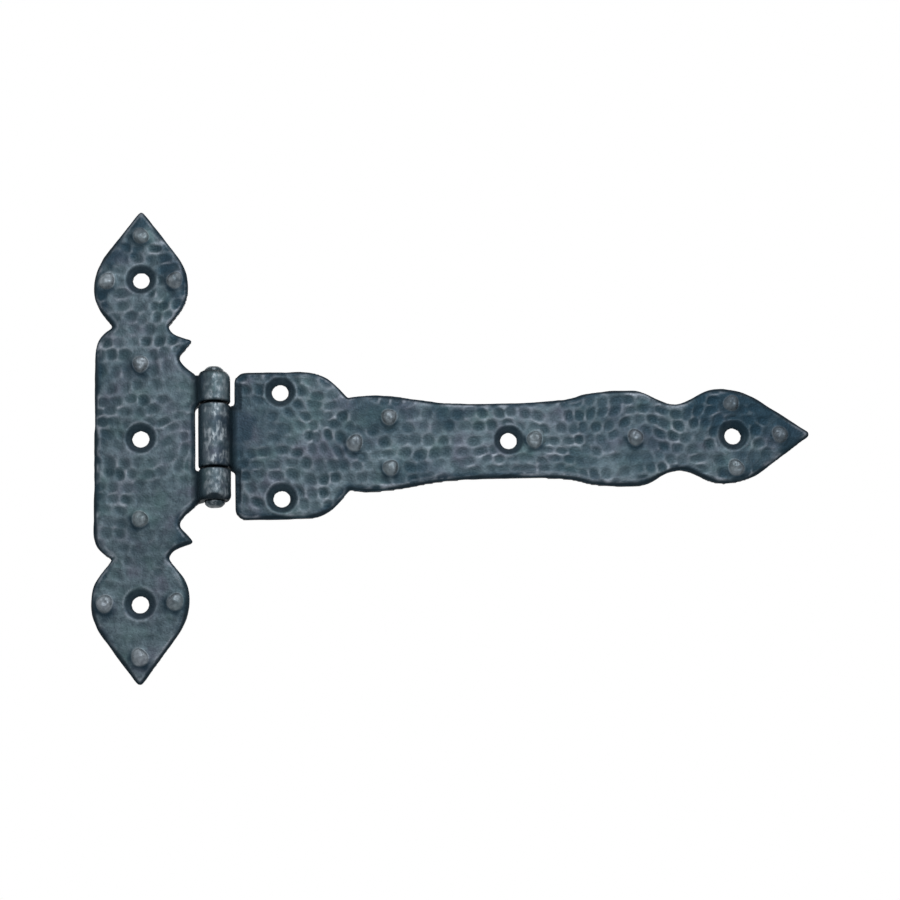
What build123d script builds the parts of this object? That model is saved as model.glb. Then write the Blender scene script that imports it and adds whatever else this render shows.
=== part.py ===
from build123d import *
import os
from math import acos, atan2, degrees, sqrt

# A T-shaped strap hinge, pressed from thick sheet steel and rolled around a loose pin.
# Sizes are in millimetres. X runs along the strap, Z runs up the pin and the front faces -Y.
# The origin is the frame leaf's middle screw hole, on the back face that lies on the wood.

# Sheet and pin
sheet = 2.5
pin_diameter = 6.0
running_clearance = 0.08
pin_head_diameter = 7.0
pin_proud = 2.0
pin_head_bevel = 1.1

# Barrel: two knuckles of the frame leaf with the strap leaf's one between them
pin_from_screws = 25.55
barrel_length = 45.6
middle_knuckle = 22.6
knuckle_gap = 0.4
leaf_gap = 1.2
bend_radius = 3.0
curl_gap = 0.9
slot_fillet = 1.7

# Screw holes, countersunk from the front for 5 mm wood screws
screw_hole_diameter = 6.0
countersink_diameter = 9.8
countersink_angle = 90
frame_screw_pitch = 57.8

# Frame leaf: symmetric about its own middle, which lies a little below the middle screw
frame_drop = 0.9
frame_left_edge = 15.9
frame_neck_height = 41.3
frame_shoulder_length = 9.8
frame_neck_half = 9.8
frame_neck_slope = 0.65
frame_spear_length = 42.9
frame_bulge_at = 14.2
frame_bulge_half = 16.6
frame_bulge_radius = 21.3
horn_under_neck = 5.2
horn_reach = 18.1
horn_tip_radius = 0.8
bay_reach = 13.5
shelf_over_knuckle = 0.8
# Directions in which the curves of its outline set off and end
shoulder_end = (1, 0.55)
brow_start = (0.25, -1)
brow_end = (1, -0.4)
bay_start = (-0.6, -1)
bay_finish = (1, -0.8)

# Strap leaf: symmetric about its centre line, which lies below the middle screw
strap_drop = 3.3
strap_root_half = 26.4
strap_root_length = 23.5
strap_root_corner = 3.8
strap_notch_at = 39.4
strap_notch_half = 16.6
strap_swell_at = 46.8
strap_swell_half = 17.4
strap_taper_at = 67.8
strap_taper_half = 14.8
strap_waist_at = 93.8
strap_waist_half = 13.6
strap_widening_at = 117.8
strap_widening_half = 14.9
strap_flare_at = 139.0
strap_flare_half = 17.4
strap_neck_at = 155.2
strap_neck_half = 12.1
strap_neck_slope = 0.12
strap_spear_length = 46.7
strap_bulge_at = 15.2
strap_bulge_half = 17.3
strap_bulge_radius = 24.9
root_screws_at = 15.9
root_screw_pitch = 38.0
middle_screw_at = 95.2
end_screw_at = 174.7
# Directions of its outline into the notch behind the root and out of it
notch_start = (1, -1.2)
notch_end = (1, 0.25)

# Studs: hammered pips pressed up through the sheet from behind
stud_diameter = 5.8
stud_height = 1.7
stud_facets = 12
stud_side_lean = 14
stud_bevel = 1.0
stud_hollow_diameter = 3.6
stud_hollow_floor_diameter = 1.6
stud_hollow_depth = 1.4
frame_plate_stud_at = 27.6
frame_side_studs_at = 57.3
frame_side_stud_spread = 23.6
frame_tip_stud_at = 74.9
strap_lead_stud_at = 41.4
strap_pair_stud_at = 53.6
strap_pair_stud_spread = 18.2
strap_middle_stud_at = 104.2
strap_flare_stud_at = 139.8
strap_side_stud_spread = 23.4
strap_tip_stud_at = 191.2

# Edges
front_bevel = 0.6
spear_tip_radius = 1.4

# The rolled section starts this much past the outline that then trims it.
overcut = 1.0

# What follows from the sizes above
bore_radius = pin_diameter / 2 + running_clearance
barrel_radius = bore_radius + sheet
edge_from_pin = barrel_radius + leaf_gap
frame_edge = pin_from_screws - edge_from_pin
strap_edge = pin_from_screws + edge_from_pin
barrel_top = barrel_length / 2 - frame_drop
barrel_bottom = -barrel_length / 2 - frame_drop
seam_offset = middle_knuckle / 2 + knuckle_gap
knuckle_reach = edge_from_pin + barrel_radius + overcut
knuckle_rise = strap_drop - frame_drop
strap_tip = strap_edge + strap_neck_at + strap_spear_length

# The bend that leads from the flat sheet into the knuckle is tangent to both.
bend_to_pin = barrel_radius + bend_radius
bend_from_pin = sqrt(bend_to_pin**2 - (bend_radius - bore_radius) ** 2)
bend_lean = degrees(atan2(bore_radius - bend_radius, bend_from_pin))
# The curl's free end stops one curl gap short of the bend's back.
seam_reach = bend_radius + sheet + curl_gap
seam_cosine = (barrel_radius**2 + bend_to_pin**2 - seam_reach**2) / (2 * barrel_radius * bend_to_pin)
seam_angle = degrees(acos(seam_cosine))

front_face = Plane(origin=(0, -sheet, 0), x_dir=(1, 0, 0), z_dir=(0, -1, 0))
back_face = Plane(origin=(0, 0, 0), x_dir=(1, 0, 0), z_dir=(0, 1, 0))
frame_plane = Plane(origin=(0, 0, -frame_drop), x_dir=(1, 0, 0), z_dir=(0, -1, 0))
strap_plane = Plane(origin=(strap_edge, 0, -strap_drop), x_dir=(1, 0, 0), z_dir=(0, -1, 0))
pin_plane = Plane(origin=(pin_from_screws, -barrel_radius, 0), x_dir=(1, 0, 0), z_dir=(0, 0, 1))


def spear_head(neck_half, neck_slope, bulge_at, bulge_half, bulge_radius, length):
    """A leaf-shaped point that grows along +X from its neck at X = 0.

    Each side swells to the bulge, turns on one arc, runs straight on and ends in the blunt tip.
    """
    turn_centre = Vector(bulge_at, bulge_half - bulge_radius)
    tip_centre = Vector(length - spear_tip_radius, 0)
    apart = tip_centre - turn_centre
    flank_angle = degrees(acos((bulge_radius - spear_tip_radius) / apart.length) + atan2(apart.Y, apart.X))
    with BuildSketch() as head:
        with BuildLine():
            swell = Spline((0, neck_half), (bulge_at, bulge_half), tangents=((1, neck_slope), (1, 0)))
            turn = CenterArc(turn_centre, bulge_radius, 90, flank_angle - 90)
            tip = CenterArc(tip_centre, spear_tip_radius, flank_angle, -flank_angle)
            Line(turn @ 1, tip @ 0)
            Polyline(tip @ 1, (0, 0), swell @ 0)
        make_face()
        mirror(about=Plane.XZ)
    return head.sketch


def frame_half():
    """The frame leaf's plate above its middle, up to the neck of its spear head.

    On the barrel's side a horn stands out, and a round bay runs from it to the knuckle's end.
    """
    with BuildSketch() as half:
        with BuildLine():
            shoulder_height = frame_neck_height - frame_shoulder_length
            left = Line((-frame_left_edge, 0), (-frame_left_edge, shoulder_height))
            neck_start = (-frame_neck_half, frame_neck_height)
            shoulder = Spline(left @ 1, neck_start, tangents=((0, 1), shoulder_end))
            neck = Line(shoulder @ 1, (frame_neck_half, frame_neck_height))
            horn = Vector(horn_reach, frame_neck_height - horn_under_neck)
            brow = Spline(neck @ 1, horn, tangents=(brow_start, brow_end))
            shelf = Vector(frame_edge, barrel_length / 2 + shelf_over_knuckle)
            bay_middle = (bay_reach, (horn.Y + shelf.Y) / 2)
            bay = Spline(brow @ 1, bay_middle, shelf, tangents=(bay_start, bay_finish))
            Polyline(bay @ 1, (frame_edge, 0), left @ 0)
        make_face()
        fillet(vertices().sort_by_distance(horn)[0], horn_tip_radius)
    return half.sketch


def curl_section(flat_length):
    """Section of a leaf across its knuckle, with the pin's centre at the origin.

    The flat sheet comes in from +X, bends forward, goes over the front of the pin and
    closes round behind it.
    """
    bend_centre = (bend_from_pin, bore_radius - bend_radius)
    wrap = 360 - seam_angle
    free_end = bend_lean + seam_angle
    with BuildSketch() as section:
        with BuildLine():
            back = Line((bend_from_pin + flat_length, barrel_radius), (bend_from_pin, barrel_radius))
            CenterArc(bend_centre, bend_radius + sheet, 90, 90 + bend_lean)
            bore = CenterArc((0, 0), bore_radius, bend_lean, -wrap)
            skin = CenterArc((0, 0), barrel_radius, free_end, wrap)
            Line(bore @ 1, skin @ 0)
            bend = CenterArc(bend_centre, bend_radius, 180 + bend_lean, -90 - bend_lean)
            Polyline(bend @ 1, (bend_from_pin + flat_length, bore_radius), back @ 0)
        make_face()
    return section.sketch


def slot_corner(edge, middle, offset):
    """Picks the two corners where a knuckle's sides, or the slot's, meet the plate's edge."""

    def at_corner(corner):
        return abs(corner.X - edge) < 0.01 and abs(abs(corner.Y - middle) - offset) < 0.01

    return at_corner


with BuildPart() as stud:
    with BuildSketch():
        RegularPolygon(stud_diameter / 2, stud_facets)
    extrude(amount=-sheet / 2)
    extrude(stud.faces().sort_by(Axis.Z)[-1], amount=stud_height, taper=stud_side_lean)
    chamfer(edges().group_by(Axis.Z)[-1], stud_bevel)


def press_studs(spots):
    """Raise a stud at each spot on the front and leave its hollow on the back."""
    with Locations(front_face):
        with Locations(*spots):
            add(stud.part)
    with Locations(back_face):
        with Locations(*[(x, -z) for x, z in spots]):
            Cone(
                stud_hollow_floor_diameter / 2,
                stud_hollow_diameter / 2,
                stud_hollow_depth,
                align=(Align.CENTER, Align.CENTER, Align.MAX),
                mode=Mode.SUBTRACT,
            )


def drill_screw_holes(spots):
    """Countersunk screw holes, sunk from the front face."""
    with Locations(front_face):
        with Locations(*spots):
            CounterSinkHole(
                screw_hole_diameter / 2,
                countersink_diameter / 2,
                depth=sheet + overcut,
                counter_sink_angle=countersink_angle,
            )


def on_strap(*spots):
    """Turns spots measured from the strap's root, along its centre line, into the leaf's own."""
    return [(strap_edge + along, across - strap_drop) for along, across in spots]


def bevel_front(leaf, edge):
    """Bevels the front edge of the plate's outline, up to where the knuckles begin."""
    plate_front = leaf.faces().filter_by(Axis.Y).filter_by_position(Axis.Y, -sheet, -sheet)
    rim = plate_front.edges().filter_by(lambda side: abs(side.center().X - edge) > slot_fillet)
    chamfer(rim, front_bevel)


with BuildPart() as frame_leaf:
    with BuildSketch(pin_plane):
        mirror(curl_section(frame_edge + frame_bulge_half + overcut), about=Plane.YZ)
    extrude(amount=frame_neck_height + frame_spear_length + frame_drop + overcut, both=True)
    with BuildSketch(frame_plane):
        add(frame_half())
        mirror(about=Plane.XZ)
        head = spear_head(
            frame_neck_half,
            frame_neck_slope,
            frame_bulge_at,
            frame_bulge_half,
            frame_bulge_radius,
            frame_spear_length,
        )
        with Locations((0, frame_neck_height)):
            add(head, rotation=90)
        with Locations((0, -frame_neck_height)):
            add(head, rotation=-90)
        with Locations((frame_edge, 0)):
            Rectangle(knuckle_reach, barrel_length, align=(Align.MIN, Align.CENTER))
            Rectangle(knuckle_reach, 2 * seam_offset, align=(Align.MIN, Align.CENTER), mode=Mode.SUBTRACT)
        fillet(vertices().filter_by(slot_corner(frame_edge, 0, seam_offset)), slot_fillet)
    extrude(amount=2 * barrel_radius, mode=Mode.INTERSECT)
    bevel_front(frame_leaf, frame_edge)
    for side in (-1, 1):
        press_studs(
            [
                (0, side * frame_plate_stud_at - frame_drop),
                (-frame_side_stud_spread / 2, side * frame_side_studs_at),
                (frame_side_stud_spread / 2, side * frame_side_studs_at),
                (0, side * frame_tip_stud_at - frame_drop),
            ]
        )
    drill_screw_holes([(0, row * frame_screw_pitch) for row in (-1, 0, 1)])

with BuildPart() as strap_leaf:
    with BuildSketch(pin_plane):
        add(curl_section(strap_tip - strap_edge + overcut))
    extrude(amount=strap_root_half + strap_drop + overcut, both=True)
    with BuildSketch(strap_plane):
        with BuildLine():
            start = Line((0, 0), (0, strap_root_half - strap_root_corner))
            corner = RadiusArc(start @ 1, (strap_root_corner, strap_root_half), strap_root_corner)
            root = Line(corner @ 1, (strap_root_length, strap_root_half))
            notch = Spline(root @ 1, (strap_notch_at, strap_notch_half), tangents=((1, 0), notch_start))
            swell = Spline(
                notch @ 1,
                (strap_swell_at, strap_swell_half),
                (strap_taper_at, strap_taper_half),
                (strap_waist_at, strap_waist_half),
                (strap_widening_at, strap_widening_half),
                (strap_flare_at, strap_flare_half),
                tangents=(notch_end, (1, 0)),
            )
            waist = Spline(swell @ 1, (strap_neck_at, strap_neck_half), tangents=((1, 0), (1, 0)))
            Polyline(waist @ 1, (strap_neck_at, 0), start @ 0)
        make_face()
        mirror(about=Plane.XZ)
        with Locations((strap_neck_at, 0)):
            add(
                spear_head(
                    strap_neck_half,
                    strap_neck_slope,
                    strap_bulge_at,
                    strap_bulge_half,
                    strap_bulge_radius,
                    strap_spear_length,
                )
            )
        with Locations((0, knuckle_rise)):
            Rectangle(knuckle_reach, middle_knuckle, align=(Align.MAX, Align.CENTER))
        fillet(vertices().filter_by(slot_corner(0, knuckle_rise, middle_knuckle / 2)), slot_fillet)
    extrude(amount=2 * barrel_radius, mode=Mode.INTERSECT)
    bevel_front(strap_leaf, strap_edge)
    press_studs(
        on_strap(
            (strap_lead_stud_at, 0),
            (strap_pair_stud_at, strap_pair_stud_spread / 2),
            (strap_pair_stud_at, -strap_pair_stud_spread / 2),
            (strap_middle_stud_at, 0),
            (strap_flare_stud_at, 0),
            (end_screw_at, strap_side_stud_spread / 2),
            (end_screw_at, -strap_side_stud_spread / 2),
            (strap_tip_stud_at, 0),
        )
    )
    drill_screw_holes(
        on_strap(
            (root_screws_at, root_screw_pitch / 2),
            (root_screws_at, -root_screw_pitch / 2),
            (middle_screw_at, 0),
            (end_screw_at, 0),
        )
    )

with BuildPart() as hinge_pin:
    with Locations(pin_plane.offset(barrel_bottom)):
        Cylinder(pin_diameter / 2, barrel_length, align=(Align.CENTER, Align.CENTER, Align.MIN))
        Cylinder(pin_head_diameter / 2, pin_proud, align=(Align.CENTER, Align.CENTER, Align.MAX))
    with Locations(pin_plane.offset(barrel_top)):
        Cylinder(pin_head_diameter / 2, pin_proud, align=(Align.CENTER, Align.CENTER, Align.MIN))
    rims = edges().filter_by(GeomType.CIRCLE).group_by(Axis.Z)
    chamfer(rims[0] + rims[-1], pin_head_bevel)

frame_leaf.part.label = "frame_leaf"
strap_leaf.part.label = "strap_leaf"
hinge_pin.part.label = "hinge_pin"

os.makedirs("parts", exist_ok=True)
export_step(frame_leaf.part, "parts/frame_leaf.step")
export_step(strap_leaf.part, "parts/strap_leaf.step")
export_step(hinge_pin.part, "parts/hinge_pin.step")
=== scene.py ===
from math import cos, radians, sin

import bpy
import numpy as np
from bpy.props import FloatProperty, FloatVectorProperty, IntProperty, PointerProperty
from bpy.types import Operator, Panel, PropertyGroup
from mathutils import Matrix, Vector
from mathutils.kdtree import KDTree


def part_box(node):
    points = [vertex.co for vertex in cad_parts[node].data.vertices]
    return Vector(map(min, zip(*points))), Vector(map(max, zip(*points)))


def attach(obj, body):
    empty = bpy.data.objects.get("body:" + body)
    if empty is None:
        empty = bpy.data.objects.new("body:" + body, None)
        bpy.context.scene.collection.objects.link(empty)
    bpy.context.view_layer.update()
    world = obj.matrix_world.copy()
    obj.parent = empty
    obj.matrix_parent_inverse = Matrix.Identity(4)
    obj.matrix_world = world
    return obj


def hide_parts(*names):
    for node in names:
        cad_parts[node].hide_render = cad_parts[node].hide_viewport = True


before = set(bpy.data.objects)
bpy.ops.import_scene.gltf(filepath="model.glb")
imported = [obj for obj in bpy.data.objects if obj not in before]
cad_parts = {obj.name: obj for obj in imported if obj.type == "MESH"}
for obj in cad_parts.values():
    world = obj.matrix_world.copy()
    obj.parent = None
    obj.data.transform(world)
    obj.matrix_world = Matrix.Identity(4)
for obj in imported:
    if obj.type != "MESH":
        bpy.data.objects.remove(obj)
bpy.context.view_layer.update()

bl_info = {
    "name": "Hammered strap hinge",
    "version": (1, 0, 0),
    "blender": (4, 5, 0),
    "location": "3D View > Sidebar > Hinge",
    "description": "Dresses a T-shaped strap hinge in hammered, blackened steel",
    "category": "Object",
}

# Sizes of the hinge that the finish follows, in millimetres, in the hinge's own frame: X runs along
# the strap, Z up the pin, and the front face looks towards -Y.
SHEET = 2.5
PIN_AT = (25.55, -5.58)
FRAME_EDGE = 18.77
STRAP_EDGE = 32.33
FRAME_MIDDLE = -0.9
STRAP_MIDDLE = -3.3
SCREW_RADIUS = 3.0
SINK_RADIUS = 4.9
STUD_RADIUS = 2.75
STUD_HEIGHT = 1.7
FRAME_SCREWS = [(0.0, 57.8), (0.0, 0.0), (0.0, -57.8)]
STRAP_SCREWS = [
    (STRAP_EDGE + 15.9, STRAP_MIDDLE + 19.0),
    (STRAP_EDGE + 15.9, STRAP_MIDDLE - 19.0),
    (STRAP_EDGE + 95.2, STRAP_MIDDLE),
    (STRAP_EDGE + 174.7, STRAP_MIDDLE),
]
FRAME_STUDS = [
    (x, side * z + middle)
    for side in (1, -1)
    for x, z, middle in (
        (0, 27.6, FRAME_MIDDLE),
        (-11.8, 57.3, 0),
        (11.8, 57.3, 0),
        (0, 74.9, FRAME_MIDDLE),
    )
]
STRAP_STUDS = [
    (STRAP_EDGE + x, STRAP_MIDDLE + z)
    for x, z in (
        (41.4, 0),
        (53.6, 9.1),
        (53.6, -9.1),
        (104.2, 0),
        (139.8, 0),
        (174.7, 11.7),
        (174.7, -11.7),
        (191.2, 0),
    )
]

# Distances from the pin's centre: where the rounding of a knuckle's end begins, how much farther out
# it is full, where the barrel's outer skin begins, and where the plates are clear of the barrel.
ROUNDING_FROM = 3.3
ROUNDING_OVER = 2.28
SKIN_FROM = 4.6
CLEAR_OF_BARREL = 6.2
# How far behind the plain front face a point may lie and still belong to the hammered face.
FACE_DEPTH = 0.9
# How far round a countersink the plate stays out of the rims' rounding.
SINK_MARGIN = 0.4
# The barrel gets a painted highlight where it faces this way, about towards the key softbox, in X and Y.
LIT_SIDE = (0.26, -0.966)
# Length round the barrel for one radian, which keeps its noise as large as the plate's.
ROUND_BARREL = 5.5

# The hammer's blows, as shares of their pitch: height of a row, scatter of a blow's centre, reach of
# its mark along and across, turn, force, and how far the rows waver along and across.
BLOW_ROW = 0.93
BLOW_SCATTER = 0.17
BLOW_REACH = (0.36, 0.49)
BLOW_TURN = 0.35
BLOW_FORCE = (0.45, 1.0)
BLOW_WAVER = (0.8, 1.0)
# The blows repeat after this many columns and rows, which is more than a leaf holds.
BLOW_TABLE = 97

# Each leaf's own places:
# - roll_from: where its sheet starts to roll and where it is all roll (x, x)
# - calm: where the hammer left it calmer (x, z, reach, share)
# - burnt: where the fire left it darker (x, z, reach, strength)
# - dark_rims: painted shade along the rims beside its knuckles (x, z from, z to, width)
# - knuckle_highlight: how strong the painted highlight on its knuckles is
# - ends: its knuckles' ends (z, direction in which the knuckle runs on, depth and reach of rounding)
# - mouths: the ends with painted shadow over the pin's head (z)
FRAME_LEAF = {
    "studs": FRAME_STUDS,
    "screws": FRAME_SCREWS,
    "roll_from": (FRAME_EDGE - 1.4, FRAME_EDGE + 0.9),
    "calm": [
        (0, 81.0, 10.0, 0.9),
        (0, -83.0, 10.0, 0.9),
        (-9.0, 66.0, 6.0, 0.8),
        (-8.0, -62.0, 9.0, 0.8),
        (2.0, -64.0, 40.0, 0.6),
        (8.0, -26.0, 15.0, 0.7),
    ],
    "burnt_and_shade": [
        (11.0, 66.0, 10.0, 0.8),
        (15.0, 57.0, 7.5, 1.0),
        (11.5, 51.0, 6.0, 0.8),
        (-12.5, 67.0, 7.0, 0.9),
        (-14.5, 51.0, 7.0, 0.9),
        (0, 83.0, 11.0, 1.0),
        (-3.0, 69.5, 6.0, 0.7),
        (-3.0, 25.0, 6.5, 0.5),
        (17.0, 35.0, 7.0, 1.0),
        (16.0, -36.5, 7.0, 0.8),
        (14.0, -56.0, 8.0, 0.2),
        (-17.0, 22.0, 11.0, 0.5),
        (-17.0, 2.0, 10.0, 0.5),
        (-17.0, -20.0, 10.0, 0.45),
    ],
    "dark_rims": [],
    "knuckle_highlight": 0.78,
    "ends": [
        (21.9, -1, 1.2, 2.4),
        (10.8, 1, 0.45, 0.9),
        (-12.6, -1, 0.45, 0.9),
        (-23.7, 1, 1.0, 2.2),
    ],
    "mouths": [-23.7],
}
STRAP_LEAF = {
    "studs": STRAP_STUDS,
    "screws": STRAP_SCREWS,
    "roll_from": (STRAP_EDGE + 1.4, STRAP_EDGE - 0.9),
    "calm": [
        (STRAP_EDGE + 3.0, 4.0, 13.0, 0.9),
        (STRAP_EDGE + 46.0, 6.5, 7.0, 0.8),
        (STRAP_EDGE + 197.0, -3.3, 11.0, 0.8),
    ],
    "burnt_and_shade": [
        (STRAP_EDGE + 168.0, 12.0, 20.0, 1.0),
        (STRAP_EDGE + 183.0, 7.0, 21.0, 1.0),
        (STRAP_EDGE + 201.0, -3.0, 27.0, 1.0),
        (STRAP_EDGE + 181.0, -19.0, 15.0, 0.8),
        (STRAP_EDGE + 144.0, -8.0, 13.0, 0.55),
        (STRAP_EDGE + 150.0, 9.0, 14.0, 0.5),
        (STRAP_EDGE + 74.0, 10.0, 12.0, 0.6),
        (STRAP_EDGE + 118.0, -14.0, 12.0, 0.45),
        (STRAP_EDGE + 127.0, 4.0, 17.0, 0.5),
        (STRAP_EDGE + 62.0, -15.0, 12.0, 0.6),
        (STRAP_EDGE + 50.0, 9.0, 18.0, 0.55),
        (STRAP_EDGE + 40.0, -3.0, 15.0, 0.4),
        (STRAP_EDGE + 9.0, 9.0, 20.0, 0.45),
        (STRAP_EDGE + 1.0, 3.0, 11.0, 0.85),
        (STRAP_EDGE + 1.0, -8.0, 10.0, 0.75),
    ],
    "dark_rims": [(STRAP_EDGE, 9.0, 19.0, 3.0), (STRAP_EDGE, -24.0, -11.0, 2.2)],
    "knuckle_highlight": 1.15,
    "ends": [(10.4, -1, 0.45, 0.9), (-12.2, 1, 0.45, 0.9)],
    "mouths": [],
}

# The pin: step of its mesh, in metres, and how far its peened heads reach, in millimetres.
PIN_MESH_STEP = 0.00028
HEAD_REACH = (2.6, 1.6)
HEAD_DENTS = 0.14

# The stage, in metres: a floor below the hinge, and two soft lamps (name, place, size, watts).
FLOOR_REACH = 3.0
FLOOR_LEVEL = -0.26
LAMPS_AIM = (0.10, 0.0, 0.0)
LAMPS = (
    ("key_softbox", (0.22, -0.76, 0.38), 0.40, 3.5),
    ("back_fill", (0.1, 0.9, 0.5), 0.8, 5.0),
)
# Light that the white surround gives to matt surfaces. In the camera and in gloss it is full white.
SURROUND_LIGHT = 0.45
# The photograph looks up at the hinge from 14 degrees below and 4 degrees to its side.
CAMERA_BELOW = radians(14.0)
CAMERA_ASIDE = radians(4.195)
CAMERA_ROLL = radians(-2.216)
CAMERA_DISTANCE = 0.650
CAMERA_TARGET = (0.10693, 0.0, -0.00595)
FOCAL_LENGTH = 74.46
SENSOR_WIDTH = 36.0


def srgb(text):
    """Linear RGBA from a written sRGB hex colour."""
    channels = [int(text[i : i + 2], 16) / 255 for i in (1, 3, 5)]
    return tuple(c / 12.92 if c <= 0.04045 else ((c + 0.055) / 1.055) ** 2.4 for c in channels) + (1.0,)


def smooth_step(low, high, values):
    """Eases from 0 at low to 1 at high. Low may be the larger of the two."""
    t = np.clip((values - low) / (high - low), 0, 1)
    return t * t * (3 - 2 * t)


def soft_noise(a, b, size, seed):
    """Smooth value noise from 0 to 1 over two coordinates, with lumps of the given size."""
    table = np.random.default_rng(seed).random((64, 64))
    u, v = a / size + 1000, b / size + 1000
    i, j = np.floor(u).astype(int), np.floor(v).astype(int)
    s, t = u - i, v - j
    s, t = s * s * (3 - 2 * s), t * t * (3 - 2 * t)
    near = table[i % 64, j % 64] * (1 - s) + table[(i + 1) % 64, j % 64] * s
    far = table[i % 64, (j + 1) % 64] * (1 - s) + table[(i + 1) % 64, (j + 1) % 64] * s
    return near * (1 - t) + far * t


def hammer_blows(x, z, pitch, seed):
    """How deep each point lies in the marks of a square-faced hammer, from 0 to 1.

    The blows fall side by side in wavering rows, and differ in place, size, turn and force.
    """
    rng = np.random.default_rng(seed)
    table = (BLOW_TABLE, BLOW_TABLE)
    scatter = rng.uniform(-BLOW_SCATTER, BLOW_SCATTER, (*table, 2))
    reach = rng.uniform(*BLOW_REACH, (*table, 2))
    turn = rng.uniform(-BLOW_TURN, BLOW_TURN, table)
    force = rng.uniform(*BLOW_FORCE, table)
    start = rng.random(BLOW_TABLE)
    row_height = BLOW_ROW * pitch
    x, z = (
        x + BLOW_WAVER[0] * pitch * (soft_noise(x, z, 2.8 * pitch, seed + 20) - 0.5),
        z + BLOW_WAVER[1] * pitch * (soft_noise(x, z, 3.3 * pitch, seed + 21) - 0.5),
    )
    row = np.floor(z / row_height).astype(int)
    untouched = np.ones(len(x))
    for down in (-1, 0, 1):
        r = row + down
        shift = start[r % BLOW_TABLE]
        column = np.floor(x / pitch - shift).astype(int)
        for across in (-1, 0, 1):
            c = column + across
            i, j = c % BLOW_TABLE, r % BLOW_TABLE
            dx = x / pitch - (c + shift + 0.5 + scatter[i, j, 0])
            dz = z / row_height - (r + 0.5 + scatter[i, j, 1])
            u = (dx + turn[i, j] * dz) / reach[i, j, 0]
            v = (dz - turn[i, j] * dx) / reach[i, j, 1]
            # A flat-bottomed mark with rounded corners.
            mark = np.exp(-((np.abs(u) ** 2.4 + np.abs(v) ** 2.4) ** 1.5))
            untouched = untouched * (1 - force[i, j] * mark)
    return 1 - untouched


def remeshed_copy(node, name, step):
    """A new piece in the shape of a frame node, with an even mesh fine enough to carry marks."""
    piece = bpy.data.objects.new(name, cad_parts[node].data.copy())
    bpy.context.scene.collection.objects.link(piece)
    even = piece.modifiers.new("Even mesh", "REMESH")
    even.mode = "VOXEL"
    even.voxel_size = step
    even.adaptivity = 0
    evaluated = piece.evaluated_get(bpy.context.evaluated_depsgraph_get())
    mesh = bpy.data.meshes.new_from_object(evaluated)
    piece.modifiers.clear()
    piece.data = mesh
    mesh.name = name
    mesh.materials.clear()
    return piece


class Skin:
    """A piece's vertices in millimetres, with their normals and edges."""

    def __init__(self, mesh):
        self.mesh = mesh
        count = len(mesh.vertices)
        flat = np.empty(count * 3, np.float32)
        mesh.vertices.foreach_get("co", flat)
        self.co = flat.reshape(-1, 3).astype(float) * 1000
        pairs = np.empty(len(mesh.edges) * 2, np.int32)
        mesh.edges.foreach_get("vertices", pairs)
        self.a, self.b = pairs.reshape(-1, 2).T
        self.degree = np.bincount(self.a, minlength=count) + np.bincount(self.b, minlength=count)
        self.read_normals()

    def read_normals(self):
        flat = np.empty(len(self.mesh.vertices) * 3, np.float32)
        self.mesh.vertices.foreach_get("normal", flat)
        self.normal = flat.reshape(-1, 3).astype(float)

    def around(self, values):
        """Mean of the neighbours' values at each vertex."""
        count = len(self.co)
        total = np.bincount(self.a, values[self.b], count)
        total = total + np.bincount(self.b, values[self.a], count)
        return total / np.maximum(self.degree, 1)

    def spread(self, values, rounds):
        """Softens values over the surface."""
        for _ in range(rounds):
            values = 0.5 * values + 0.5 * self.around(values)
        return values

    def relax(self, weight, rounds):
        """Rubs the surface smooth where the weight is high."""
        for _ in range(rounds):
            for axis in range(3):
                column = self.co[:, axis]
                self.co[:, axis] = column + 0.5 * weight * (self.around(column) - column)

    def push_in(self, amount):
        self.co -= self.normal * amount[:, None]

    def distance_to(self, chosen):
        """Distance of each vertex, seen from the front, to the nearest of the chosen ones."""
        spots = self.co[chosen][:, [0, 2]]
        tree = KDTree(len(spots))
        for index, (x, z) in enumerate(spots):
            tree.insert((x, z, 0), index)
        tree.balance()
        return np.array([tree.find((x, z, 0))[2] for x, z in self.co[:, [0, 2]]])

    def write(self):
        self.mesh.vertices.foreach_set("co", (self.co / 1000).astype(np.float32).ravel())
        self.mesh.update()
        self.read_normals()

    def keep(self, name, values):
        """Stores one value a vertex for the material."""
        attribute = self.mesh.attributes.new(name, "FLOAT", "POINT")
        attribute.data.foreach_set("value", np.clip(values, 0, 1).astype(np.float32))


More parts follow.
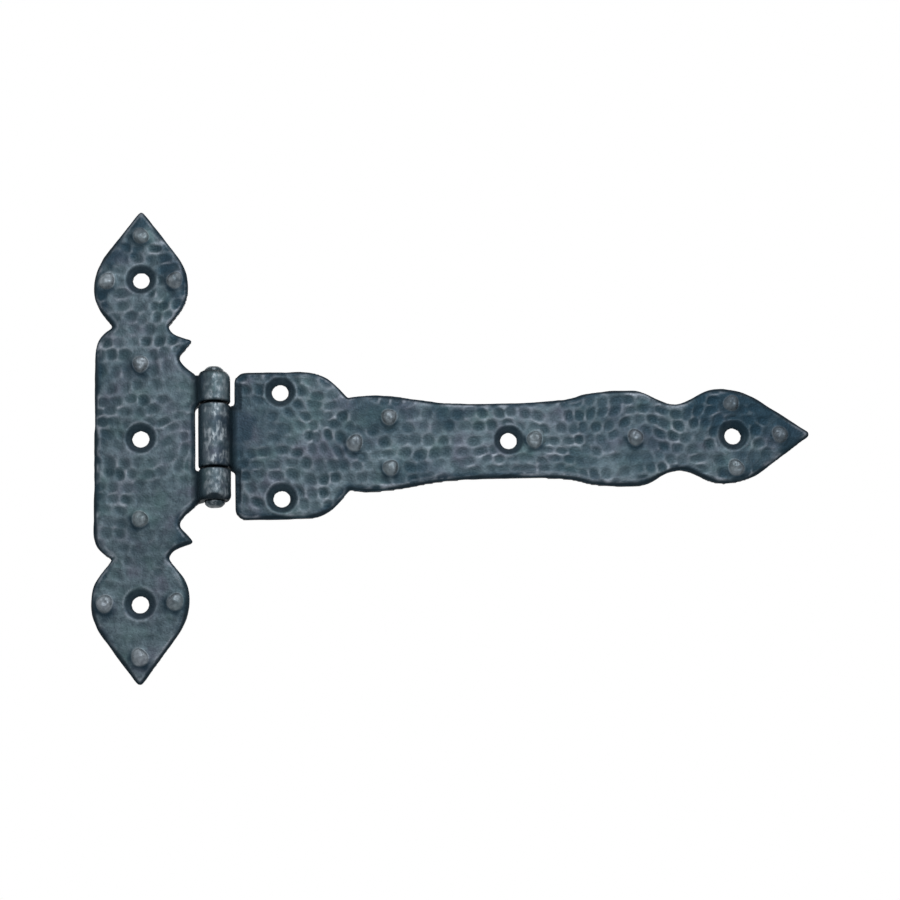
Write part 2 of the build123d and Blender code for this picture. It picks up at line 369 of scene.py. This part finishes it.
class LeafSkin(Skin):
    """A leaf's skin, which also knows where each point lay on the plain leaf.

    Its steps run in the order of the methods: rims, holes, face, studs, knuckles and colours.
    """

    def __init__(self, mesh, places, seed):
        super().__init__(mesh)
        self.places = places
        self.seed = seed
        self.x, self.y, self.z = self.co.T.copy()
        self.rolled = smooth_step(*places["roll_from"], self.x)
        self.stud_far = self.distance_to_spots(places["studs"])
        self.hole_far = self.distance_to_spots(places["screws"])
        self.pin_far = np.hypot(self.x - PIN_AT[0], self.y - PIN_AT[1])
        self.on_roll = self.rolled * (self.pin_far > SKIN_FROM)
        self.uneven = self.noise(5.5, 1)
        upright = np.abs(self.normal[:, 1]) < 0.6
        clear = (self.hole_far > SINK_RADIUS + SINK_MARGIN) & (self.stud_far > STUD_RADIUS + 0.5)
        faces_pin = (PIN_AT[0] - self.x) * self.normal[:, 0] > 0
        slot_wall = upright & faces_pin & (self.pin_far > CLEAR_OF_BARREL) & (self.rolled > 0)
        self.rim_wall = upright & clear & (self.rolled < 0.3)
        self.rim_far = self.distance_to(self.rim_wall | slot_wall)

    def distance_to_spots(self, spots):
        return np.min([np.hypot(self.x - spot_x, self.z - spot_z) for spot_x, spot_z in spots], axis=0)

    def noise(self, size, number):
        """Noise over the front, with lumps of the given size. Each use has a number of its own."""
        return soft_noise(self.x, self.z, size, self.seed + number)

    def barrel_noise(self, along, size, number):
        """Noise round the barrel. The smaller along is, the longer the lumps are along the pin."""
        around_pin = np.arctan2(self.y - PIN_AT[1], self.x - PIN_AT[0])
        return soft_noise(around_pin * ROUND_BARREL, self.z * along, size, self.seed + number)

    def beat_rims(self):
        """Rounds the rims, and beats them in more in some places than in others."""
        near_rim = smooth_step(1.6, 0.4, self.rim_far) * (self.hole_far > SINK_RADIUS + SINK_MARGIN)
        self.relax(np.maximum(near_rim * (1 - self.rolled), 0.4 * self.rolled), 4)
        self.write()
        dents = 0.30 * (self.uneven - 0.35) + 0.12 * self.noise(2.2, 2)
        self.push_in(self.rim_wall * dents.clip(0, None))

    def tighten_holes(self):
        """Pulls each screw hole a little tighter, as the hammered metal spreads."""
        for hole_x, hole_z in self.places["screws"]:
            from_hole = np.maximum(np.hypot(self.x - hole_x, self.z - hole_z), 0.1)
            share = smooth_step(SCREW_RADIUS + 1.0, SCREW_RADIUS + 0.1, from_hole)
            tighten = 0.2 * share / from_hole
            self.co[:, 0] -= tighten * (self.x - hole_x)
            self.co[:, 2] -= tighten * (self.z - hole_z)

    def hammer_face(self, pitch, depth):
        """Marks and dishes the front face, lets it fall to the rims and presses in the countersinks."""
        calm = smooth_step(STUD_RADIUS - 0.4, STUD_RADIUS + 2.6, self.stud_far)
        calm = calm * smooth_step(SINK_RADIUS - 0.4, SINK_RADIUS + 1.8, self.hole_far)
        for calm_x, calm_z, reach, share in self.places["calm"]:
            away = np.hypot(self.x - calm_x, self.z - calm_z)
            calm = calm * (1 - share * smooth_step(reach, 0.35 * reach, away))
        calm = calm * (0.7 + 0.3 * smooth_step(0.1, 0.45, self.noise(13.0, 3)))
        self.marks = hammer_blows(self.x, self.z, pitch, self.seed) * calm

        on_face = self.y < -SHEET + FACE_DEPTH
        self.front = smooth_step(0.35, 0.85, -self.normal[:, 1]) * (1 - self.rolled) * on_face
        self.plate = smooth_step(SINK_RADIUS - 0.1, SINK_RADIUS + 0.9, self.hole_far)
        dished = 0.22 * self.noise(9.0, 4)
        fall = np.clip(1 - self.rim_far / (1.4 + 1.8 * self.uneven), 0, 1) ** 2
        fall = fall * (0.15 + 0.3 * self.uneven)
        self.co[:, 1] += self.front * self.plate * (depth * self.marks + dished + fall)

        shoulder = smooth_step(SINK_RADIUS + 0.9, SINK_RADIUS - 0.1, self.hole_far)
        shoulder = shoulder * smooth_step(3.7, 4.7, self.hole_far)
        self.co[:, 1] += 0.32 * shoulder * (self.y < -SHEET + 1.4) * (1 - self.rolled)

    def raise_studs(self):
        """Lumpy pips, each a little oval, tilted and dented.

        Keeps how near each point is to a stud's top, and to the shaded foot on its lower left.
        """
        x, y, z = self.co.T.copy()
        seed = self.seed + 5
        rng = np.random.default_rng(seed)
        on_face = y < -SHEET + FACE_DEPTH
        self.top = np.zeros(len(x))
        self.foot = np.zeros(len(x))
        for stud_x, stud_z in self.places["studs"]:
            turn, oval, tilt = rng.uniform(-0.5, 0.5), rng.uniform(1.02, 1.18), rng.uniform(-0.10, 0.10, 2)
            u = cos(turn) * (x - stud_x) + sin(turn) * (z - stud_z)
            v = -sin(turn) * (x - stud_x) + cos(turn) * (z - stud_z)
            wobble = 1 + 0.045 * np.sin(3 * np.arctan2(v, u) + 7 * turn)
            r = np.hypot(u, v / oval) / (0.94 * STUD_RADIUS * wobble)
            dome = np.clip(1 - np.clip(r, 0, 1) ** 3.0, 0, 1) ** 0.9
            dents = 0.8 * (soft_noise(u + 50 * turn, v, 1.1, seed + 6) - 0.6)
            height = STUD_HEIGHT * dome * (0.86 + tilt[0] * u + tilt[1] * v) + dents * dome
            base = -SHEET + 0.04 * np.exp(-(((r - 1.15) / 0.3) ** 2))
            raised = base - np.clip(height, 0, STUD_HEIGHT)
            near = (r < 1.45) & on_face
            share = smooth_step(1.45, 1.1, r)
            seat = self.co[:, 1]
            self.co[:, 1] = np.where(near, seat * (1 - share) + raised * share, seat)
            self.top = np.maximum(self.top, near * rng.uniform(0.6, 1.0) * smooth_step(1.2, 0.9, r))
            low_side = smooth_step(-0.6, 0.6, -np.sin(np.arctan2(z - stud_z, x - stud_x) + 0.45))
            skirt = smooth_step(2.4, 1.35, r + 0.7 * soft_noise(x, z, 2.0, seed + 7))
            skirt = smooth_step(0.92, 1.05, r) * skirt
            self.foot = np.maximum(self.foot, on_face * low_side * skirt)

    def ease_end(self, end, away, depth, reach):
        """Rounds the rim of a knuckle's end. Away is the direction in which the knuckle runs on.

        Returns how near each point is to that end, for the painted shade in the seams.
        """
        inward = away * (self.co[:, 2] - end)
        offset = self.co[:, :2] - PIN_AT
        pin_far = np.maximum(np.hypot(*offset.T), 0.1)
        share = np.clip(1 - inward / reach, 0, 1) ** 2 * (inward > -0.3) * (inward < reach)
        share = share * np.clip((pin_far - ROUNDING_FROM) / ROUNDING_OVER, 0, 1) * self.rolled
        # Less on the side of -X, where the frame leaf's knuckles come off the plate.
        share = share * (0.5 + 0.5 * smooth_step(-3.5, 1.0, offset[:, 0]))
        self.co[:, :2] -= offset * (depth * share / pin_far)[:, None]
        near = np.exp(-((np.clip(inward, 0, None) / (0.5 * reach)) ** 2))
        return near * (inward > -0.3) * self.rolled

    def draw_knuckles(self):
        """Knuckles stay smooth, with long faint dents round the roll and rounded ends."""
        streak = self.barrel_noise(0.2, 0.9, 7)
        self.push_in(self.rolled * 0.10 * smooth_step(0.45, 0.9, streak))
        self.seam = np.zeros(len(self.x))
        for end, away, depth, reach in self.places["ends"]:
            self.seam = np.maximum(self.seam, self.ease_end(end, away, depth, reach))

    def rest_on_wood(self):
        """No point lies behind the back face."""
        self.co[:, 1] = np.minimum(self.co[:, 1], 0)
        self.write()

    def rubbed_crests(self):
        """Crests between the marks, and whatever stands proud, away from studs and countersinks."""
        proud = self.around(self.co[:, 1]) - self.co[:, 1]
        proud = self.spread(proud, 1) * self.front * self.plate
        between = smooth_step(0.35, 0.02, self.marks)
        between = between * smooth_step(0.12, 0.4, self.spread(self.marks, 18))
        rubbed = np.maximum(0.6 * between, 0.85 * smooth_step(0.003, 0.022, proud))
        rubbed = rubbed * smooth_step(0.05, 0.8, self.noise(3.0, 9))
        rubbed = rubbed * smooth_step(0.2, 2.2, self.stud_far - STUD_RADIUS)
        return rubbed * smooth_step(0.3, 1.6, self.hole_far - SINK_RADIUS)

    def burnt_patches_and_rim_shade(self):
        """Cloudy blue-black patches, and painted shade in a band of changing breadth along the rims."""
        breadth = self.noise(7.0, 15)
        burnt_and_shade = 0.8 * smooth_step(1.1 + 2.8 * breadth, 0.3 + 1.2 * breadth, self.rim_far)
        burnt_and_shade = burnt_and_shade * (self.hole_far > SINK_RADIUS)
        ragged = 5.0 * (self.noise(2.6, 14) - 0.5)
        for burnt_x, burnt_z, reach, strength in self.places["burnt_and_shade"]:
            cloudy = 0.5 * reach * (self.noise(0.3 * reach, 12) - 0.5)
            away = np.hypot(self.x - burnt_x, self.z - burnt_z) + cloudy + ragged
            burnt_and_shade = np.maximum(burnt_and_shade, strength * smooth_step(reach, 0.3 * reach, away))
        return burnt_and_shade

    def dark_rims(self):
        """Painted shade along the rims beside the knuckles."""
        dark = np.zeros(len(self.x))
        for rim_x, z_from, z_to, width in self.places["dark_rims"]:
            along = smooth_step(z_from - 1, z_from + 1, self.z) * smooth_step(z_to + 1, z_to - 1, self.z)
            along = along * smooth_step(width, 0.8 * width, np.abs(self.x - rim_x))
            dark = np.maximum(dark, along)
        return dark

    def shadowed_mouths(self):
        """A low arch of painted shadow on a knuckle's end, over the pin's head."""
        arch_shadow = np.zeros(len(self.x))
        for end in self.places["mouths"]:
            above = self.z - end - 1.9 * (1 - ((self.x - PIN_AT[0]) / 4.2) ** 2)
            arch_shadow = np.maximum(arch_shadow, 0.9 * self.on_roll * smooth_step(0.3, -0.2, above))
        return arch_shadow

    def keep_colours(self):
        """Stores what the material needs to know of each point."""
        facing = LIT_SIDE[0] * (self.x - PIN_AT[0]) + LIT_SIDE[1] * (self.y - PIN_AT[1])
        facing = facing / np.maximum(self.pin_far, 0.1)
        # Painted highlight on the barrel's crown, where it faces the key softbox, broken into blotches.
        crown = smooth_step(0.45, 0.95, facing) * self.on_roll
        blotch = smooth_step(0.15, 0.85, self.barrel_noise(0.8, 1.2, 8))
        # Painted shade on the barrel's flanks, turned away from that side.
        flank = self.rolled * (1 - smooth_step(0.35, 0.92, facing)) * (self.y < -1.5)

        # Painted shade in the countersinks.
        sunk = smooth_step(SINK_RADIUS + 0.9, SINK_RADIUS - 0.3, self.hole_far)
        # Painted highlights: a broken ring on each countersink's lip, and a broken line about 1.9 mm
        # inside the rims.
        lip_highlight = np.exp(-(((self.hole_far - SINK_RADIUS - 0.9) / 0.45) ** 2))
        lip_highlight = lip_highlight * smooth_step(0.3, 0.9, self.noise(2.2, 10))
        ridge_highlight = np.exp(-(((self.rim_far - 1.9) / 0.4) ** 2))
        ridge_highlight = ridge_highlight * smooth_step(0.5, 0.85, self.noise(8.0, 13))
        # Painted shade along the rims and beside the knuckles, where the rounded edges turn from the
        # light.
        edge = smooth_step(1.3, 0.3, self.rim_far + 1.4 * (self.uneven - 0.5))
        edge = edge * (self.hole_far > SINK_RADIUS) * (self.pin_far > CLEAR_OF_BARREL)
        dark = self.dark_rims()
        edge = np.maximum(edge, 1.2 * dark)
        burnt_and_shade = np.maximum(self.burnt_patches_and_rim_shade(), dark)
        rubbed = self.rubbed_crests()
        mouth_shadow = self.shadowed_mouths()

        # Crests rubbed grey, with the painted highlights of the lips and the rims' line, and none in the
        # painted shadow at the stud feet.
        crest_and_highlight = np.maximum.reduce([rubbed * (1 - edge), 0.3 * lip_highlight, 0.35 * ridge_highlight])
        self.keep("crest_and_highlight", self.front * crest_and_highlight * (1 - self.foot))
        # Dark skin kept in the hammer marks, and painted shade on the barrel's flanks.
        self.keep("hollows_and_shade", np.maximum(self.front * self.marks, 0.5 * flank))
        # Stud tops worn grey, and the painted highlight on the barrel's crown.
        bare_top = self.top * (0.4 + 0.6 * self.noise(0.8, 11))
        lit_crown = self.places["knuckle_highlight"] * crown * blotch
        self.keep("wear_and_highlight", np.maximum(bare_top, lit_crown) * (1 - 0.5 * burnt_and_shade))
        # Painted shade: the stud feet, the countersinks, the rims, the seams between knuckles and the arch
        # over the pin's head.
        foot_shade = 0.4 * self.foot * self.front
        self.keep("painted_shade", np.maximum.reduce([foot_shade, 0.2 * sunk, 0.75 * edge, self.seam, mouth_shadow]))
        # Blue-black fire patches, with painted shade on the flanks, the stud feet, the countersinks and
        # along the rims.
        burnt_and_shade = burnt_and_shade * (1 - 0.6 * rubbed)
        dark_foot_shade = self.foot * self.front
        self.keep("burnt_and_shade", np.maximum.reduce([burnt_and_shade, 0.75 * flank, dark_foot_shade, 0.75 * sunk]))
        self.keep("rolled", self.on_roll)


def dress_leaf(name, node, body, places, seed):
    """One leaf as it left the anvil: marked face, rubbed rims, lumpy studs and smooth knuckles."""
    finish = bpy.context.scene.hinge_finish
    piece = remeshed_copy(node, name, finish.mesh_step)
    skin = LeafSkin(piece.data, places, seed)
    skin.beat_rims()
    skin.tighten_holes()
    skin.hammer_face(finish.blow_pitch * 1000, finish.blow_depth * 1000)
    skin.raise_studs()
    skin.draw_knuckles()
    skin.rest_on_wood()
    skin.keep_colours()
    piece.data.shade_smooth()
    piece.data.materials.append(hammered_steel())
    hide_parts(node)
    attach(piece, body)


def add_node(tree, kind, links=None, **settings):
    """Adds one node. Settings are its own fields, and links set or join its inputs by name or number."""
    node = tree.nodes.new(kind)
    for field, value in settings.items():
        setattr(node, field, value)
    for key, value in (links or {}).items():
        if isinstance(value, bpy.types.NodeSocket):
            tree.links.new(value, node.inputs[key])
        else:
            node.inputs[key].default_value = value
    return node


def fresh_material(name):
    material = bpy.data.materials.new(name)
    material.use_nodes = True
    material.node_tree.nodes.clear()
    return material, material.node_tree


def noise_texture(tree, place, scale, detail):
    """Noise with lumps of about 1 / scale metres."""
    links = {"Vector": place, "Scale": scale, "Detail": detail}
    return add_node(tree, "ShaderNodeTexNoise", links).outputs["Fac"]


def stored(tree, name):
    """One of the values that the skin stored at each vertex."""
    return add_node(tree, "ShaderNodeAttribute", attribute_name=name).outputs["Fac"]


def stretch(tree, value, low, high, to_low, to_high):
    """Maps the range from low to high on another one, and holds it there."""
    links = {"Value": value, "From Min": low, "From Max": high, "To Min": to_low, "To Max": to_high}
    return add_node(tree, "ShaderNodeMapRange", links).outputs["Result"]


def combine(tree, operation, *values):
    """One step of arithmetic on numbers or sockets."""
    return add_node(tree, "ShaderNodeMath", dict(enumerate(values)), operation=operation).outputs["Value"]


def mix_colours(tree, share, first, second):
    links = {"Factor": share, "A": first, "B": second}
    return add_node(tree, "ShaderNodeMix", links, data_type="RGBA").outputs["Result"]


def mix_values(tree, share, first, second):
    links = {"Factor": share, "A": first, "B": second}
    return add_node(tree, "ShaderNodeMix", links).outputs["Result"]


def hammered_steel():
    """Mild steel sheet, hammered cold, blackened hot and waxed.

    The hollows keep the blue-black skin, and the crests and studs are rubbed back to grey. Rims,
    corners, seams, countersinks, stud feet and the barrel's flanks get painted shade, and the knuckles,
    the countersinks' lips and a line inside the rims get painted highlights. It gives the eye a dark
    net of marks with a low, broad sheen.
    """
    name = "Hammered blackened steel"
    if name in bpy.data.materials:
        return bpy.data.materials[name]
    finish = bpy.context.scene.hinge_finish
    material, tree = fresh_material(name)
    place = add_node(tree, "ShaderNodeTexCoord").outputs["Object"]
    # Cloudy patches 16 mm across, heat colours 11 mm across, and forge scale of 2 mm and 0.7 mm.
    cloud = noise_texture(tree, place, 62.0, 3.0)
    heat = noise_texture(tree, place, 90.0, 2.0)
    flake = noise_texture(tree, place, 500.0, 3.0)
    scale = noise_texture(tree, place, 1400.0, 4.0)
    # Streaks up the barrel, 0.9 mm wide and 2 mm long, that break up its painted highlight.
    along = {"Vector": place, "Scale": (1.0, 1.0, 0.45)}
    barrel_streaks = noise_texture(tree, add_node(tree, "ShaderNodeMapping", along).outputs["Vector"], 1100.0, 4.0)

    # The blackened skin: mottled from dark to light, with faint heat colours.
    mottle = combine(tree, "MULTIPLY_ADD", scale, 0.9, combine(tree, "ADD", cloud, flake))
    mottle = stretch(tree, mottle, 1.21, 1.69, 0.0, 1.0)
    colour = mix_colours(tree, mottle, finish.steel_dark, finish.steel_light)
    purple = stretch(tree, heat, 0.52, 0.68, 0.0, 0.34)
    colour = mix_colours(tree, purple, colour, finish.heat_purple)
    green = stretch(tree, heat, 0.46, 0.32, 0.0, 0.34)
    colour = mix_colours(tree, green, colour, finish.heat_green)

    # The hammer's net on it, with painted shade on the barrel's flanks among the hollows and painted
    # highlights among the crests. The finest scale dulls the marks and the crests here and there.
    fleck = stretch(tree, scale, 0.35, 0.6, 0.8, 1.1)
    hollows_and_shade = combine(tree, "MULTIPLY", stored(tree, "hollows_and_shade"), fleck)
    crest_and_highlight = combine(tree, "MULTIPLY", stored(tree, "crest_and_highlight"), fleck)
    colour = mix_colours(tree, hollows_and_shade, colour, finish.hollow_and_shade_colour)
    colour = mix_colours(tree, crest_and_highlight, colour, finish.crest_and_highlight_colour)

    # What fire and hands did to it afterwards: burnt patches and worn stud tops, with painted shade on
    # rims, countersinks, stud feet, seams and knuckle ends, and a painted highlight on the knuckles.
    scorched_and_shaded = combine(tree, "MULTIPLY", stored(tree, "burnt_and_shade"), 0.92)
    colour = mix_colours(tree, scorched_and_shaded, colour, finish.burnt_and_shade_colour)
    # Stud tops worn grey, and the knuckles' painted highlight broken by the streaks.
    streak_share = stretch(tree, barrel_streaks, 0.44, 0.58, 0.15, 1.0)
    streaked = mix_values(tree, stored(tree, "rolled"), 1.0, streak_share)
    worn_and_lit = combine(tree, "MULTIPLY", stored(tree, "wear_and_highlight"), streaked)
    colour = mix_colours(tree, worn_and_lit, colour, finish.worn_and_highlight_colour)
    # Painted shade on rims, countersinks, stud feet, seams and the arch over the pin's head.
    colour = mix_colours(tree, stored(tree, "painted_shade"), colour, finish.painted_shade_colour)

    pitted = combine(tree, "ADD", flake, scale)
    relief = add_node(tree, "ShaderNodeBump", {"Height": pitted, "Strength": 0.6, "Distance": 0.0002})
    surface = {
        "Base Color": colour,
        "Metallic": 0.85,
        "Roughness": stretch(tree, scale, 0.3, 0.7, 0.42, 0.60),
        "Normal": relief.outputs["Normal"],
    }
    shader = add_node(tree, "ShaderNodeBsdfPrincipled", surface)
    add_node(tree, "ShaderNodeOutputMaterial", {"Surface": shader.outputs["BSDF"]})
    return material


def peened_steel():
    """Drawn steel rod, blackened, its ends peened over with a ball hammer.

    It gives the eye a dark cap with small rubbed facets.
    """
    finish = bpy.context.scene.hinge_finish
    material, tree = fresh_material("Peened steel rod")
    place = add_node(tree, "ShaderNodeTexCoord").outputs["Object"]
    # Rubbed specks 1.2 mm across on the blackened skin.
    speck = noise_texture(tree, place, 830.0, 4.0)
    patchy = stretch(tree, speck, 0.42, 0.62, 0.05, 0.75)
    share = combine(tree, "MULTIPLY", patchy, stored(tree, "wear_and_highlight"))
    relief = add_node(tree, "ShaderNodeBump", {"Height": speck, "Strength": 0.3, "Distance": 0.00008})
    surface = {
        "Base Color": mix_colours(tree, share, finish.hollow_and_shade_colour, finish.worn_and_highlight_colour),
        "Metallic": 0.6,
        "Roughness": 0.45,
        "Normal": relief.outputs["Normal"],
    }
    shader = add_node(tree, "ShaderNodeBsdfPrincipled", surface)
    add_node(tree, "ShaderNodeOutputMaterial", {"Surface": shader.outputs["BSDF"]})
    return material


def white_paper():
    """Matt white paper.

    It gives the eye a flat, bright floor that only takes the soft shadow.
    """
    material, tree = fresh_material("White paper floor")
    grain = add_node(tree, "ShaderNodeTexNoise", {"Scale": 400.0, "Detail": 2.0}).outputs["Fac"]
    shade = mix_colours(tree, grain, srgb("#F1F1F0"), srgb("#F7F7F6"))
    matt = add_node(tree, "ShaderNodeBsdfPrincipled", {"Base Color": shade, "Roughness": 0.9})
    add_node(tree, "ShaderNodeOutputMaterial", {"Surface": matt.outputs["BSDF"]})
    return material


def colour_property(name, description, text):
    """A colour that the user can change, from its written sRGB value."""
    return FloatVectorProperty(
        name=name,
        description=description,
        subtype="COLOR",
        size=4,
        default=srgb(text),
    )


class HingeFinish(PropertyGroup):
    """Sizes and colours of the hammered finish."""

    mesh_step: FloatProperty(
        name="Mesh step",
        description="Distance between the points of a leaf's mesh",
        default=0.00042,
        min=0.0003,
        unit="LENGTH",
    )
    blow_pitch: FloatProperty(
        name="Blow pitch",
        description="Distance from one hammer mark to the next",
        default=0.0048,
        min=0.002,
        unit="LENGTH",
    )
    blow_depth: FloatProperty(
        name="Blow depth",
        description="Depth of a hammer mark",
        default=0.00032,
        min=0.0,
        unit="LENGTH",
    )
    pattern: IntProperty(
        name="Pattern",
        description="Number of the hammer pattern",
        default=11,
        min=0,
    )
    steel_dark: colour_property("Dark steel", "Blackened skin of the sheet at its darkest", "#36434B")
    steel_light: colour_property("Light steel", "Blackened skin of the sheet at its lightest", "#53626A")
    heat_purple: colour_property(
        "Purple heat colour", "Purplish clouds that the blackening fire left", "#575264"
    )
    heat_green: colour_property(
        "Green heat colour", "Greenish clouds that the blackening fire left", "#3B5855"
    )
    # Also the painted shade on the barrel's flanks, and the pin's own skin.
    hollow_and_shade_colour: colour_property("Hollows", "Bottoms of the hammer marks", "#1C2E36")
    # Also the painted highlights on the countersinks' lips and inside the rims.
    crest_and_highlight_colour: colour_property("Crests", "Rubbed crests between the marks", "#8A919B")
    # Also the painted highlight on the knuckles' crown.
    worn_and_highlight_colour: colour_property("Worn steel", "Stud tops and knuckles rubbed grey", "#8E979E")
    # Also the painted shade at the stud feet, in the countersinks, on the barrel's flanks and along the
    # rims.
    burnt_and_shade_colour: colour_property("Burnt skin", "Patches that the fire left blue-black", "#0F2734")
    # The colour of the painted shade on rims, countersinks, stud feet, seams and the arch over the pin's
    # head.
    painted_shade_colour: colour_property("Soot", "Rims, countersinks and corners", "#0F1C24")


class HINGE_OT_frame_leaf(Operator):
    """Dress the upright leaf that is screwed to the post"""

    bl_idname = "hinge.frame_leaf"
    bl_label = "Frame leaf"

    def execute(self, context):
        seed = context.scene.hinge_finish.pattern
        dress_leaf("hammered_frame_leaf", "frame_leaf", "frame", FRAME_LEAF, seed)
        return {"FINISHED"}


class HINGE_OT_strap_leaf(Operator):
    """Dress the long leaf that is screwed to the door"""

    bl_idname = "hinge.strap_leaf"
    bl_label = "Strap leaf"

    def execute(self, context):
        seed = context.scene.hinge_finish.pattern + 100
        dress_leaf("hammered_strap_leaf", "strap_leaf", "strap", STRAP_LEAF, seed)
        return {"FINISHED"}


class HINGE_OT_pin(Operator):
    """Dress the pin and peen its two ends"""

    bl_idname = "hinge.pin"
    bl_label = "Pin"

    def execute(self, context):
        seed = context.scene.hinge_finish.pattern + 200
        pin = remeshed_copy("hinge_pin", "peened_hinge_pin", PIN_MESH_STEP)
        skin = Skin(pin.data)
        x, y, z = skin.co.T.copy()
        low, high = (corner.z * 1000 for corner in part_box("hinge_pin"))
        head = smooth_step(*HEAD_REACH, np.minimum(high - z, z - low))
        skin.relax(head, 2)
        skin.push_in(head * HEAD_DENTS * soft_noise(x + z, y - z, 1.5, seed))
        skin.write()
        skin.keep("wear_and_highlight", head * smooth_step(0.1, 0.7, soft_noise(x, y, 1.8, seed + 1)))
        pin.data.shade_smooth()
        pin.data.materials.append(peened_steel())
        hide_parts("hinge_pin")
        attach(pin, "frame")
        return {"FINISHED"}


class HINGE_OT_stage(Operator):
    """Set the pale floor, the white surround, the soft lights and the camera"""

    bl_idname = "hinge.stage"
    bl_label = "Stage"

    def execute(self, context):
        scene = context.scene
        scene.view_settings.view_transform = "Standard"
        scene.world = self.surround()
        self.add_floor(scene)
        self.add_lamps(scene)
        self.add_camera(scene)
        return {"FINISHED"}

    def surround(self):
        """White in the camera, in gloss and through glass, and softer on matt surfaces."""
        world = bpy.data.worlds.new("White surround")
        world.use_nodes = True
        tree = world.node_tree
        tree.nodes.clear()
        path = add_node(tree, "ShaderNodeLightPath").outputs
        seen = combine(tree, "MAXIMUM", path["Is Camera Ray"], path["Is Glossy Ray"])
        seen = combine(tree, "MAXIMUM", seen, path["Is Transmission Ray"])
        strength = mix_values(tree, seen, SURROUND_LIGHT, 1.0)
        white = {"Color": (1.0, 1.0, 1.0, 1.0), "Strength": strength}
        sky = add_node(tree, "ShaderNodeBackground", white)
        add_node(tree, "ShaderNodeOutputWorld", {"Surface": sky.outputs["Background"]})
        return world

    def add_floor(self, scene):
        corners = [
            (side_x * FLOOR_REACH, side_y * FLOOR_REACH, FLOOR_LEVEL)
            for side_x, side_y in ((-1, -1), (1, -1), (1, 1), (-1, 1))
        ]
        mesh = bpy.data.meshes.new("pale_floor")
        mesh.from_pydata(corners, [], [(0, 1, 2, 3)])
        mesh.materials.append(white_paper())
        floor = bpy.data.objects.new("pale_floor", mesh)
        scene.collection.objects.link(floor)

    def add_lamps(self, scene):
        for name, place, size, watts in LAMPS:
            lamp = bpy.data.lights.new(name, "AREA")
            lamp.shape = "SQUARE"
            lamp.size = size
            lamp.energy = watts
            holder = bpy.data.objects.new(name, lamp)
            holder.location = place
            aim = Vector(LAMPS_AIM) - Vector(place)
            holder.rotation_euler = aim.to_track_quat("-Z", "Y").to_euler()
            scene.collection.objects.link(holder)

    def add_camera(self, scene):
        back = Vector(
            (
                -sin(CAMERA_ASIDE) * cos(CAMERA_BELOW),
                -cos(CAMERA_ASIDE) * cos(CAMERA_BELOW),
                -sin(CAMERA_BELOW),
            )
        )
        level = (-back).cross(Vector((0, 0, 1))).normalized()
        upright = level.cross(-back)
        right = cos(CAMERA_ROLL) * level + sin(CAMERA_ROLL) * upright
        up = -sin(CAMERA_ROLL) * level + cos(CAMERA_ROLL) * upright
        lens = bpy.data.cameras.new("camera")
        lens.sensor_width = SENSOR_WIDTH
        lens.lens = FOCAL_LENGTH
        lens.clip_start, lens.clip_end = 0.01, 20.0
        camera = bpy.data.objects.new("camera", lens)
        turn = Matrix((right, up, back)).transposed().to_4x4()
        camera.matrix_world = Matrix.Translation(Vector(CAMERA_TARGET) + back * CAMERA_DISTANCE) @ turn
        scene.collection.objects.link(camera)
        scene.camera = camera


class HINGE_PT_panel(Panel):
    """Buttons that dress the hinge, piece by piece"""

    bl_idname = "HINGE_PT_panel"
    bl_label = "Hammered strap hinge"
    bl_space_type = "VIEW_3D"
    bl_region_type = "UI"
    bl_category = "Hinge"

    def draw(self, context):
        finish = context.scene.hinge_finish
        for field in HingeFinish.__annotations__:
            self.layout.prop(finish, field)
        for step in STEPS:
            self.layout.operator(step.bl_idname)


STEPS = (HINGE_OT_frame_leaf, HINGE_OT_strap_leaf, HINGE_OT_pin, HINGE_OT_stage)
CLASSES = (HingeFinish, *STEPS, HINGE_PT_panel)


def register():
    for item in CLASSES:
        bpy.utils.register_class(item)
    bpy.types.Scene.hinge_finish = PointerProperty(type=HingeFinish)


def unregister():
    del bpy.types.Scene.hinge_finish
    for item in reversed(CLASSES):
        bpy.utils.unregister_class(item)


def main():
    register()
    bpy.ops.hinge.frame_leaf()
    bpy.ops.hinge.strap_leaf()
    bpy.ops.hinge.pin()
    bpy.ops.hinge.stage()


if __name__ == "__main__":
    main()
